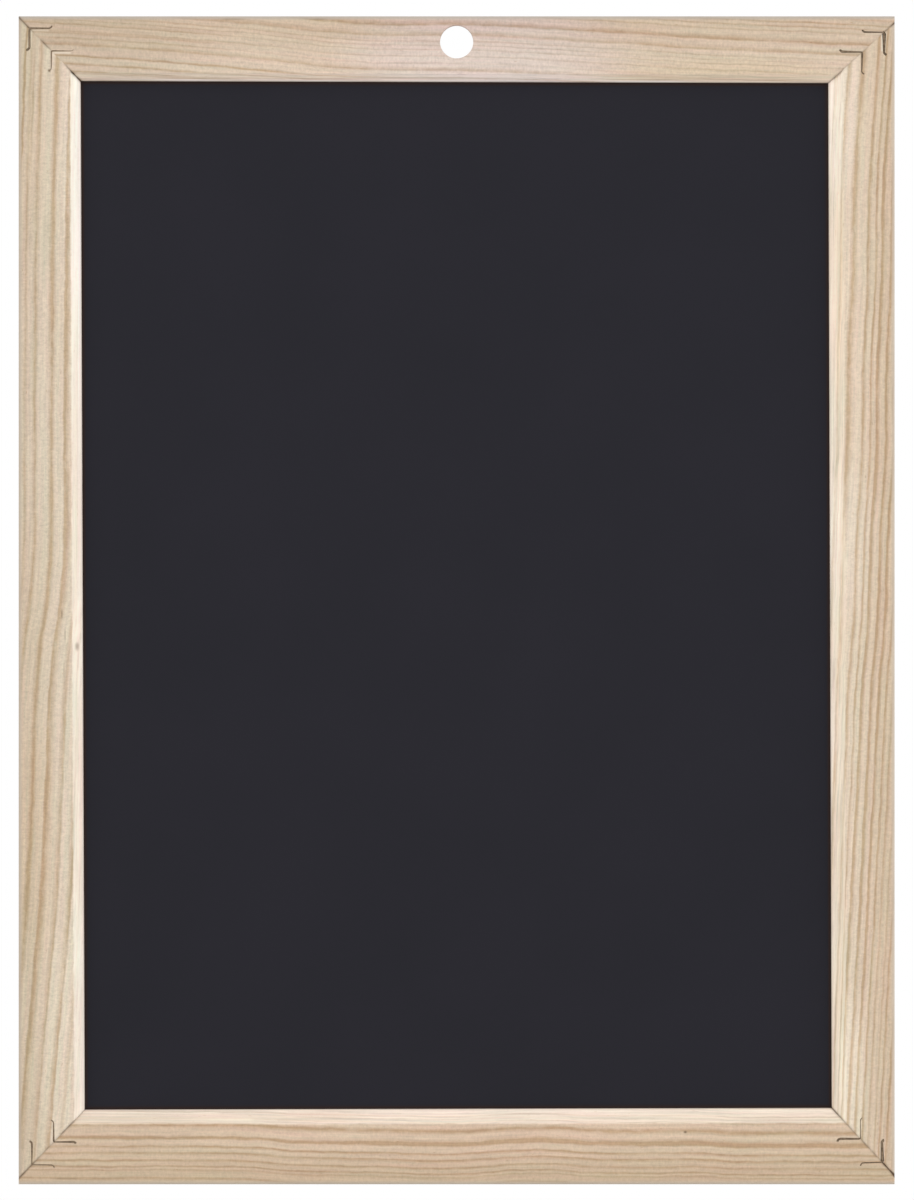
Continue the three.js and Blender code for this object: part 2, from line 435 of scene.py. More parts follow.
def draw_leg(shape, middle, room, first):
    """Extrudes one leg from the bend's open end and spins its curl. The first leg is drawn as the
    second one's mirror image."""
    length, curl, near, far = shape

    def at(reach, aside):
        return (-aside, middle, -reach) if first else (reach, middle, aside)

    def thicken(share, reach):
        stretch((share, 1, 1) if first else (1, 1, share), at(reach, 0))

    thicken(near, BEND_RADIUS)
    straight = length - BEND_RADIUS
    extrude((0, 0, -straight) if first else (straight, 0, 0))
    thicken(far / near, length)
    turn = math.radians(curl) + room / CURL_RADIUS
    centre = at(length, CURL_RADIUS)
    bpy.ops.mesh.spin(steps=6, angle=-turn if first else turn, center=centre, axis=(0, 1, 0))


def bend_strip(name, corner, spot_name, front, room):
    """A bent strip in the frame of the member that ends at its corner, with the bend at the origin.

    The first leg runs back along that member and the second along the next one."""
    shape = NAIL_SHAPES[spot_name]
    pairs = [legs_in_order(corner, shape[part]) for part in ("legs", "curls", "near", "far")]
    first, second = zip(*pairs)
    back = FRONT + NAIL["sunk"] + NAIL["height"] + room
    middle = (front + back) / 2
    foot = Vector((0, middle, -BEND_RADIUS))
    start_fresh()
    bpy.ops.mesh.primitive_plane_add(size=1, location=foot)
    bpy.context.object.scale = (NAIL["thickness"] + 2 * room, back - front, 1)
    strip = open_new(name)
    bpy.ops.mesh.select_mode(type="FACE")
    bpy.ops.mesh.select_all(action="SELECT")
    centre = (BEND_RADIUS, middle, -BEND_RADIUS)
    bpy.ops.mesh.spin(steps=4, angle=-QUARTER, center=centre, axis=(0, 1, 0))
    draw_leg(second, middle, room, False)
    pick("faces", lambda f: (f.calc_center_median() - foot).length < SAME)
    draw_leg(first, middle, room, True)
    bpy.ops.mesh.select_all(action="SELECT")
    bpy.ops.mesh.remove_doubles(threshold=WELD)
    bpy.ops.mesh.normals_make_consistent(inside=False)
    start_fresh()
    return strip


def nail_spots(corner):
    """The two bends on a corner's mitre line, as a name and a share of the line."""
    stile = widths_at(corner)[0]
    setback = CORNERS[corner]["setback"]
    name = CORNERS[corner]["name"]
    return [(name + "_outer", setback / stile), (name + "_inner", (setback + NAIL_PITCH) / stile)]


def legs_in_order(corner, pair):
    """A pair that starts with the stile, put in the order of the ending and the starting member."""
    return pair if is_stile(corner) else pair[::-1]


def lean_of(spot_name):
    return math.radians(NAIL_SHAPES[spot_name]["lean"])


nails = {}
for corner in range(len(CORNERS)):
    for spot_name, share in nail_spots(corner):
        nail = bend_strip(f"v_nail_{spot_name}_strip", corner, spot_name, FRONT + NAIL["sunk"], 0)
        settle(nail, at_end(corner, share), lean_of(spot_name))
        edit(nail)
        pick("edges", lambda e: e.calc_face_angle(0) > SHARP_ANGLE)
        round_over(NAIL["edge"], 2)
        even_shading(nail)
        place(nail, corner)
        nails[spot_name] = nail

# %% [markdown]
# Slots and the hanging hole
#
# The nails have pressed their slots into the wood, and a drill made the hole. Both are cut with a
# Boolean modifier after the members have their final shape, because an exact cut keeps the flat
# faces flat. The drill's cutter flares at both faces, which leaves the rim slightly eased.

# %% Slots and the hanging hole
def join(pieces):
    choose(pieces[0])
    for piece in pieces:
        piece.select_set(True)
    bpy.ops.object.join()
    return pieces[0]


def cut_away(piece, cutter):
    boolean = piece.modifiers.new("cut", "BOOLEAN")
    boolean.operation = "DIFFERENCE"
    boolean.solver = "EXACT"
    boolean.object = cutter
    apply_modifiers(piece)
    choose(cutter)
    bpy.ops.object.delete()


def member_slots(index):
    """The slots at both ends of a member, in its own frame."""
    slots = []
    for corner, spot_of, turn in ((index, at_end, 0), (before(index), at_start, -QUARTER)):
        for spot_name, share in nail_spots(corner):
            slot = bend_strip("slot", corner, spot_name, FRONT - SLOT_RISE, NAIL_SHAPES[spot_name]["room"])
            settle(slot, spot_of(index, share), turn + lean_of(spot_name))
            slots.append(slot)
    return slots


def hole_cutter():
    """A drill as wide as the hole, flared where it meets both faces of the rail."""
    drop, along = cad_high.z / MM, WIDTH / 2
    start_fresh()
    bpy.ops.mesh.primitive_cylinder_add(vertices=96, radius=HOLE_DIAMETER / 2, depth=DEPTH - 2 * HOLE_RIM,
                                        rotation=(QUARTER, 0, 0), location=(drop, FRONT / 2, along))
    cutter = open_new("drill")
    widen = 1 + 4 * HOLE_RIM / HOLE_DIAMETER
    for depth, outwards in ((FRONT + HOLE_RIM, -1), (-HOLE_RIM, 1)):
        pick("faces", lambda f: abs(f.calc_center_median().y - depth) < SAME)
        extrude((0, outwards * 2 * HOLE_RIM, 0))
        stretch((widen, 1, widen), (drop, depth, along))
    start_fresh()
    return cutter


for index, piece in enumerate(wood):
    cutters = member_slots(index)
    if MEMBERS[index]["name"] == "top_rail":
        cutters.append(hole_cutter())
    cut_away(piece, join(cutters))
    even_shading(piece)
    place(piece, index)

# %% [markdown]
# The writing sheets
#
# The panel is a stiff core with a thin sheet bonded to each side, and its edges sit in the groove.
# Each sheet is a slab of the size that the CAD gives it, with its cut edges rounded over. The core
# is hidden, so its CAD body stays and only gets a finish.

# %% The writing sheets
SHEET_EDGE = 0.1
SHEETS = {"front_writing_sheet": "black_sheet", "back_writing_sheet": "white_sheet"}
sheets = {}
for name in SHEETS:
    low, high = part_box(name)
    sheet = add_block(name + "_slab", low / MM, high / MM)
    round_over(SHEET_EDGE, 3)
    even_shading(sheet)
    settle(sheet, scale=MM)
    sheets[name] = sheet

# %% [markdown]
# A helper for the finishes
#
# Each finish is a small network of shader nodes. To keep its maths readable, one class wraps a
# node's output, so that ordinary Python sums on it add Math nodes. Every other node comes from its
# add method, which takes the kind of node, its settings and the values of its inputs.

# %% A helper for the finishes
class Shade:
    """A value that varies over a surface: the output of a shader node."""

    def __init__(self, tree, socket):
        self.tree = tree
        self.socket = socket

    def add(self, kind, settings, inputs, output=0):
        """Adds a node. Its settings are made first, then its inputs are set or linked."""
        node = self.tree.nodes.new("ShaderNode" + kind)
        for name, value in settings.items():
            if name == "points":
                draw_curve(node.mapping, value)
            else:
                setattr(node, name, value)
        for name, value in inputs.items():
            if isinstance(value, Shade):
                self.tree.links.new(value.socket, node.inputs[name])
            else:
                node.inputs[name].default_value = value
        return Shade(self.tree, node.outputs[output])

    def maths(self, operation, *values):
        return self.add("Math", {"operation": operation}, dict(enumerate(values)))

    def sign_for(operation):
        """What a sign does in a sum: it adds a Math node for this value and the other."""
        return lambda self, *others: self.maths(operation, self, *others)

    __add__ = __radd__ = sign_for("ADD")
    __mul__ = __rmul__ = sign_for("MULTIPLY")
    __sub__ = sign_for("SUBTRACT")
    __truediv__ = sign_for("DIVIDE")
    __pow__ = sign_for("POWER")
    __abs__ = sign_for("ABSOLUTE")

    def __rsub__(self, other):
        return self.maths("SUBTRACT", other, self)

    def fade(self, start, end):
        """0 before the start and 1 after the end, with a soft step between. They may be swapped."""
        if start > end:
            return 1 - self.fade(end, start)
        sockets = {"Value": self, "From Min": start, "From Max": end}
        return self.add("MapRange", {"interpolation_type": "SMOOTHSTEP"}, sockets)

    def curve(self, points, handles="VECTOR"):
        """A value read off a drawn line through the points."""
        low, high = points[0][0], points[-1][0]
        least = min(point[1] for point in points)
        span = max(point[1] for point in points) - least
        drawn = [((x - low) / (high - low), (y - least) / span) for x, y in points]
        place_on_line = self.add("MapRange", {}, {"Value": self, "From Min": low, "From Max": high})
        read = self.add("FloatCurve", {"points": (drawn, handles)}, {"Value": place_on_line})
        return read * span + least

    def parts(self):
        """The three numbers of a vector."""
        split = self.add("SeparateXYZ", {}, {"Vector": self})
        return [Shade(self.tree, output) for output in split.socket.node.outputs]

    def noise(self, x, y, z, detail=2, roughness=0.5):
        """Cloudy noise about 0, from -0.5 to 0.5, over the three given coordinates."""
        spot = self.add("CombineXYZ", {}, {"X": x, "Y": y, "Z": z})
        sockets = {"Vector": spot, "Scale": 1, "Detail": detail, "Roughness": roughness}
        return self.add("TexNoise", {}, sockets) - 0.5

    def even_noise(self, fineness, **kind):
        """The same noise over a place on the piece, with equal patches every way."""
        return self.noise(*(part * fineness for part in self.parts()), **kind)

    def least(self, *others):
        """The lowest of this value and the others."""
        lowest = self
        for other in others:
            lowest = self.maths("MINIMUM", lowest, other)
        return lowest

    def mixed(self, amount, other, blend="MIX"):
        """This colour with another laid over it by an amount."""
        sockets = {0: amount, 6: self, 7: other}
        return self.add("Mix", {"data_type": "RGBA", "blend_type": blend}, sockets, output=2)


def draw_curve(mapping, drawing):
    points, handles = drawing
    line = mapping.curves[0].points
    line[0].location = points[0]
    line[1].location = points[-1]
    for point in points[1:-1]:
        line.new(*point)
    for point in line:
        point.handle_type = handles
    mapping.update()


def colour(red, green, blue):
    """A colour as a screen shows it, 0 to 255, turned into the linear one that shaders use."""
    def linear(level):
        share = level / 255
        return share / 12.92 if share <= 0.04045 else ((share + 0.055) / 1.055) ** 2.4
    return (linear(red), linear(green), linear(blue), 1)


def start_finish(name):
    """A new material with only its shader. Gives it, its shader and the place on the piece in mm."""
    finish = bpy.data.materials.new(name)
    finish.use_nodes = True
    nodes = finish.node_tree.nodes
    shader = nodes["Principled BSDF"]
    spot = Shade(finish.node_tree, nodes.new("ShaderNodeTexCoord").outputs["Object"])
    spot = spot.add("VectorMath", {"operation": "SCALE"}, {"Vector": spot, "Scale": 1 / MM})
    return finish, shader, spot


def plain_colour(spot, levels):
    """A plain colour to begin a mix from."""
    tone = spot.add("RGB", {}, {})
    tone.socket.default_value = colour(*levels)
    return tone


def connect(node, **sockets):
    """Sets or links inputs of a node, whose names are given with _ for a space."""
    tree = node.id_data
    for name, value in sockets.items():
        socket = node.inputs[name.replace("_", " ")]
        if isinstance(value, Shade):
            tree.links.new(value.socket, socket)
        else:
            socket.default_value = value


def cover(shader, tone, height, strength, distance, **sockets):
    """Connects a colour and a bump. The distance is in metres."""
    bump = height.add("Bump", {}, {"Strength": strength, "Distance": distance, "Height": height})
    connect(shader, Base_Color=tone, Normal=bump, **sockets)


def dress(piece, finish):
    """Gives a piece one material."""
    piece.data.materials.clear()
    piece.data.materials.append(finish)


# %% [markdown]
# The grain of the pine
#
# Planed softwood shows its yearly rings as brown lines that run along the stick and drift slowly
# across it. Each ring darkens towards its late wood and then starts pale again, often sharply.
# So the finish works with one number, the distance across the rings. On the front it is the
# distance from the outer edge less a drift that depends on the place along the stick. It is then
# turned into the distance from the tree's heart, which lies in front of the stick and beyond its
# outer edge, so that the same rings run on over the bevels, the edges and the back. Past the last
# ring that is listed they go on evenly. Where a member shows other rings at one end than at the
# other, the end rings fade in between two places along it.
# The values below were chosen for each member, in millimetres. A ring is a place, a
# darkness, and how far it runs in before the place and out after it.

# %% The grain of the pine
PITH = {"across": -60, "depth": -74}
EVEN_RINGS = 4.3
# The wood is plain before the first ring and after the last. Rings that lie closer together than
# the least gap merge, and the wood between them stays a little dark.
EVEN_WOOD = 4
LEAST_GAP = 0.02
MERGED_DARK = 0.12
GRAIN = {
    "left_stile": {
        "drift": [(0, -16.5), (32, -14.2), (66, -11.1), (101, -8), (135, -6.35), (169, -4.95),
            (186, -3.5), (203, -1.1), (220, 0.1), (250, 0.1), (306, 0.35), (340, 0.8), (375, 2),
            (400, 3.4)],
        "end_fade": (335, 362),
        "end_rings": [(-0.1, 1, 0.8, 0.6), (3.1, 0.5, 0.6, 0.5)],
        "rings": [(-7.5, 0.5, 1.2, 0.8), (-2.8, 0.6, 1.5, 0.7), (2, 0.5, 0.9, 1), (5.4, 0.65, 1.2, 1.2),
            (11.1, 0.85, 1.6, 1.4), (15.6, 0.9, 0.7, 2.6), (21.3, 0.65, 1.9, 0.6), (26.1, 0.75, 2.2, 0.6),
            (30.3, 0.45, 1.5, 0.8), (34.9, 0.55, 1.8, 0.8), (39.3, 0.6, 1.6, 0.8), (43.6, 0.5, 1.6, 0.8)],
    },
    "top_rail": {
        "drift": [(0, -9.2), (25, -8.1), (42, -7.1), (59, -5.75), (76, -4.3), (93, -2.45), (110, -0.7),
            (127, 0.1), (145, 0.1), (162, 0.5), (179, 1.3), (213, 3.3), (230, 4.5), (264, 6), (300, 7.5)],
        "end_fade": (85, 50),
        "end_rings": [(10.9, 0.3, 0.7, 0.7), (14.2, 0.5, 0.6, 0.6), (16.3, 0.3, 0.9, 0.9),
            (27.2, 0.6, 0.6, 0.6)],
        "rings": [(-7.9, 0.5, 0.6, 0.5), (-5.9, 0.5, 0.6, 0.5), (-4, 0.65, 0.5, 0.5),
            (-2.5, 0.6, 0.5, 0.4), (-0.9, 0.5, 0.5, 0.5), (2.7, 0.72, 1.9, 0.7), (6.35, 0.6, 1.8, 0.6),
            (8.4, 0.45, 0.5, 0.5), (9.8, 0.38, 0.4, 0.4), (11.3, 0.42, 0.4, 0.4), (13.5, 0.4, 0.5, 0.5),
            (16, 0.3, 0.5, 0.3), (18.25, 0.62, 1.5, 0.6), (22.1, 0.8, 0.8, 0.6), (24.8, 0.72, 0.8, 0.7),
            (28.3, 0.6, 1.2, 0.7), (31.8, 0.6, 1.2, 0.7)],
    },
    "right_stile": {
        "drift": [(0, -8), (25, -6.55), (59, -4.4), (94, -3.5), (111, -2.5), (128, -2), (145, -1.9),
            (162, -0.95), (179, 0.05), (196, 0.5), (213, 1.6), (231, 3.15), (248, 3.95), (282, 5.75),
            (316, 7.5), (350, 9.55), (368, 10.6), (400, 12.6)],
        "rings": [(-11.2, 0.7, 0.9, 0.6), (-8.8, 0.85, 1, 0.6), (-6.25, 0.75, 0.8, 0.5),
            (-4.6, 0.5, 0.6, 0.5), (-2.3, 0.6, 0.9, 0.5), (-0.1, 0.8, 0.9, 0.5), (2.45, 1, 1.1, 0.5),
            (5, 1, 1.2, 0.6), (8.2, 1, 1.4, 0.5), (10.3, 0.8, 0.8, 0.5), (12.9, 0.8, 1.2, 0.8),
            (18.1, 0.85, 2.1, 1.3), (22.8, 0.7, 1.6, 0.8), (28.4, 0.45, 1.6, 0.8), (33, 0.45, 1.6, 0.8)],
    },
    "bottom_rail": {
        "drift": [(0, -0.7), (36, -0.8), (53, -0.85), (70, 0), (87, -0.1), (104, 0.15), (121, 1.05),
            (139, 0.25), (156, -0.35), (173, 0.05), (190, 0.25), (207, 0.85), (224, 2.1), (241, 2.3),
            (276, 2.3), (300, 2.2)],
        "end_fade": (215, 165),
        "end_rings": [(14.4, 0.65, 1, 1.6)],
        "rings": [(-3.4, 0.5, 0.8, 0.6), (-0.1, 0.6, 0.8, 0.6), (2.7, 0.42, 0.7, 0.4),
            (3.9, 0.64, 0.6, 0.5), (5.95, 0.66, 0.8, 0.6), (8.5, 0.7, 1, 0.6), (10.7, 0.76, 0.9, 0.6),
            (13.75, 1, 1, 1), (18.35, 0.82, 1.5, 1.3), (21.5, 0.5, 0.5, 0.5), (23.2, 0.35, 0.4, 0.4),
            (24.7, 0.5, 0.5, 0.5), (29.6, 0.5, 1.4, 0.8)],
    },
}


def from_pith(across):
    """How far from the heart a place across the front face lies."""
    return math.hypot(across - PITH["across"], FRONT - PITH["depth"])


def ring_line(rings):
    """The darkness of all rings as one line over the distance from the heart."""
    points = [(from_pith(rings[0][0] - EVEN_WOOD), 0)]
    for spot, dark, run_in, run_out in rings:
        start = from_pith(spot - run_in)
        if start > points[-1][0] + LEAST_GAP:
            points.append((start, 0))
        else:
            points[-1] = ((start + points[-1][0]) / 2, MERGED_DARK)
        points.append((from_pith(spot), dark))
        points.append((from_pith(spot + run_out), 0))
    points.append((from_pith(rings[-1][0] + EVEN_WOOD), 0))
    return points


for name, grain in GRAIN.items():
    drifted = grain["drift"][-1][1] - grain["drift"][0][1]
    print(f"{name}: {len(grain['rings'])} rings, drifting {drifted:.1f} mm")

# %% [markdown]
# The tones of the pine
#
# The members are planed and sanded but not varnished. The wood is paler towards the opening and
# greyer at the outer edges. The bevels are the palest: partly the paler fresh-cut wood and partly
# painted light where they face the lamps. The top rail's bevel faces down, so it is painted a little
# darker as painted shade. A painted highlight runs where each front bevel meets its lip, with a
# painted shade line above it and painted shade on the lip's rounded edge. Broad patches lean to pink
# or yellow, small dark specks lie here and there, and dirt and glue darken parts of each mitre line.

# %% The tones of the pine
LATE_WOOD = (0.74, 0.655, 0.55, 1)
RESIN = (0.8, 0.7, 0.6, 1)
# The next two are painted light: a highlight along the lips, and the shade on their rounded edges with a
# little dust.
LIP_HIGHLIGHT = colour(252, 240, 232)
LIP_SHADE = colour(112, 97, 86)
PRESSED_WOOD = colour(236, 224, 204)
MITRE_DIRT = colour(92, 72, 54)
SPECK = colour(132, 113, 90)
RIPPLE_PITCH = 1.05
# A bevel is creamier next to the face and pinker next to the board.
# The bevel tones are partly the paler fresh-cut wood and partly painted light. The top rail's is darker as
# painted shade, since that bevel faces down. The last tone is the greyer one of the outer edges.
TONES = under(("outer", "inner", "bevel", "lip", "grey_rim"), {
    "left_stile": ((211, 193, 169), (224, 208, 187), (253, 243, 225), (252, 240, 228), (196, 182, 166)),
    "top_rail": ((210, 188, 165), (219, 199, 178), (240, 222, 203), (238, 220, 206), (186, 178, 168)),
    "right_stile": ((213, 191, 166), (227, 209, 187), (247, 231, 208), (250, 234, 216), (203, 191, 176)),
    "bottom_rail": ((204, 181, 154), (219, 196, 171), (243, 226, 206), (246, 229, 212), (196, 184, 169)),
})
# How much fainter the rings are on a bevel, as a share, how strongly its fine lines and the wood's
# fibres, mottle and planer's ripples show, and how wide and strong the painted highlight at the lip is.
STRENGTHS = under(("ring_fade", "bevel_lines", "fibres", "mottle", "ripples", "lip_highlight_width", "lip_highlight"), {
    "left_stile": (0.75, 0.35, 0.22, 0.62, 0.032, 0.5, 0.35),
    "top_rail": (0.3, 0.5, 0.2, 0.58, 0.03, 0.75, 1),
    "right_stile": (0.3, 0.65, 0.27, 0.54, 0.02, 0.4, 0.2),
    "bottom_rail": (0.3, 0.7, 0.22, 0.46, 0.016, 0.4, 0.2),
})
# Broad places that are paler, pinker or darker than the rest of a member: where they lie across
# and along it, how far they reach both ways, and what they do to the colour.
CLOUDS = {
    "left_stile": [(21, 350, 6, 60, 1.07, 1.09, 1.14), (15, 45, 11, 50, 1.06, 1.07, 1.08),
        (5, 270, 8, 65, 1.04, 1.05, 1.08), (6, 115, 9, 50, 0.98, 0.96, 0.93),
        (20, 236, 3, 48, 1, 0.965, 0.955), (20, 46, 3, 32, 0.95, 0.91, 0.91),
        (21, 290, 4.5, 55, 1.035, 1.035, 1.055), (21.5, 185, 3.5, 22, 1.05, 1.04, 1.03),
        (22, 128, 3.5, 50, 0.99, 0.945, 0.93), (12.5, 288, 5, 24, 0.975, 0.97, 0.955),
        (22, 356, 3, 24, 0.975, 0.975, 0.98), (22, 152, 3, 22, 0.99, 0.965, 0.955)],
    "top_rail": [(12, 160, 16, 55, 1.04, 1.08, 1.22), (11, 22, 16, 45, 0.91, 0.91, 0.89),
        (22, 245, 9, 45, 0.97, 0.96, 0.9), (21.5, 197, 2.5, 20, 1.06, 1.05, 1.05),
        (2.5, 160, 3.5, 50, 1, 0.975, 1.03), (21, 115, 2.5, 60, 1.03, 1.025, 1.025),
        (14, 197, 6, 22, 0.98, 0.975, 0.96), (21.5, 133, 2.5, 18, 0.985, 0.98, 0.97),
        (21.5, 71, 2.5, 18, 1.01, 1.025, 1.01)],
    "right_stile": [(19, 30, 8, 34, 1.1, 1.12, 1.17), (16, 180, 14, 28, 1.05, 1.07, 1.1),
        (15, 362, 6, 30, 1.1, 1.15, 1.18), (21, 350, 5, 30, 0.96, 0.95, 0.93),
        (20, 195, 4, 45, 1.04, 1.03, 1.03), (19.5, 95, 3, 42, 1.04, 1.01, 0.99),
        (19.5, 250, 3, 22, 1.06, 1.07, 1.09), (19.5, 287, 3, 22, 0.95, 0.935, 0.925)],
    "bottom_rail": [(16, 150, 14, 90, 1.02, 1.01, 1.03), (23.5, 198, 3, 18, 0.97, 0.96, 0.94),
        (18, 262, 9, 28, 0.945, 0.94, 0.935), (18, 42, 9, 26, 0.975, 0.97, 0.97),
        (19, 136, 6, 22, 0.98, 0.98, 0.975), (21, 226, 5, 20, 0.99, 0.98, 0.975)],
}
# On the top rail the painted highlight at the lip comes and goes along the rail.
TOP_LIP_HIGHLIGHT = [(0, 0), (44, 0.1), (58, 1.2), (73, 0.5), (90, 0.6), (102, 0.9), (125, 0.3), (141, 0.9),
    (158, 0.4), (167, 0), (196, 0), (207, 1.1), (222, 1.1), (232, 0.2), (300, 0.1)]
# How dark each mitre line is, from the outer corner (0) to the opening (1).
MITRE_LINES = {
    "top_left": [(0, 0.9), (0.1, 0.7), (0.17, 0.9), (0.21, 0.4), (0.27, 0.1), (0.34, 0.15), (0.4, 0.8),
        (0.48, 0.5), (0.55, 0.05), (0.72, 0), (0.78, 0.5), (0.84, 0.7), (0.88, 1.25), (0.92, 0.8), (1, 1.5)],
    "top_right": [(0, 1.2), (0.05, 0.8), (0.08, 0.4), (0.13, 0.6), (0.18, 0.5), (0.23, 0.1), (0.4, 0.15),
        (0.46, 0.3), (0.52, 0.2), (0.7, 0.2), (0.78, 0.35), (0.92, 0.5), (1, 0.3)],
    "bottom_right": [(0, 3), (0.04, 1.7), (0.08, 1), (0.13, 1.1), (0.17, 1.4), (0.22, 0.4), (0.27, 0.3),
        (0.32, 0.6), (0.37, 0.3), (0.43, 0.5), (0.48, 0.7), (0.56, 0.2), (0.66, 0.4), (0.72, 0.5),
        (0.78, 0.4), (0.86, 0.6), (0.92, 0.9), (1, 0.9)],
    "bottom_left": [(0, 0.7), (0.06, 1), (0.12, 0.7), (0.22, 0.8), (0.27, 0.5), (0.37, 0.3), (0.43, 0.5),
        (0.48, 0.25), (0.56, 0.4), (0.62, 0.3), (0.67, 0.8), (0.72, 0.6), (0.77, 0.8), (0.82, 0.5),
        (0.87, 0.2), (0.92, 0.3), (1, 0.2)],
}
# Small soft dark specks: the distances across and along a member, the radius, how many times
# longer than wide, and how dark.
SPECKS = {
    "left_stile": [(20, 184.2, 1.1, 2, 0.55), (10.5, 381.4, 0.75, 1, 1), (14.8, 195.3, 0.4, 6, 0.5),
        (15.9, 188, 0.35, 9, 0.4), (15.5, 176, 0.35, 12, 0.3)],
    "top_rail": [(1, 73, 0.55, 13, 0.35), (1, 103, 0.5, 9, 0.3)],
    "bottom_rail": [(17.9, 71.7, 0.65, 1.3, 1), (2, 284, 0.5, 14, 0.35)],
}
for name, clouds in CLOUDS.items():
    print(f"{name}: {len(clouds)} broad patches and {len(SPECKS.get(name, []))} specks")

# %% [markdown]
# The finish of the pine
#
# One network draws all four members, each in its own frame. It starts with the rings. Streaks,
# fibres and resin dashes follow them, and faint ripples from the planer cross them. The tones go
# on layer by layer. The nails' legs have pressed the wood beside them pale. Dirt lies along each
# mitre on the front, and on the sides and the back the joint is only a fine seam.

# %% The finish of the pine
def member_place(spot, index):
    """A place in a member's own frame, as its distances across, deep and along."""
    unturn = Matrix.Rotation(-QUARTER * index, 3, "Y")
    shift = -(unturn @ OUTSIDE_CORNERS[index]) / MM
    turn = (0, -QUARTER * index, 0)
    return spot.add("Mapping", {}, {"Vector": spot, "Location": shift, "Rotation": turn}).parts()


def past_inner_edge(index, across, along):
    """How far a place lies past a member's inner edge. It is below 0 on the wood."""
    start, direction = inner_edge(index)
    return across - start.x - (along - start.z) * (direction.x / direction.z)


def by_mitre(across, along, outer, inner):
    """A place by a mitre line: its share of the way from outer to inner, and how far off it is."""
    x, z, run = across - outer.x, along - outer.z, inner - outer
    share = (x * run.x + z * run.z) / run.length ** 2
    away = abs(x * run.z - z * run.x) / run.length
    return share, away


def beside_leg(across, along, bend, length):
    """A band on the inner side of a nail's leg that starts at its bend."""
    side = (across - bend.x).fade(0.35, 0.55) * (across - bend.x).fade(1.3, 0.6)
    middle = bend.z + length / 2
    return side * abs(along - middle).fade(abs(length) / 2 + 0.4, abs(length) / 2 - 0.4)


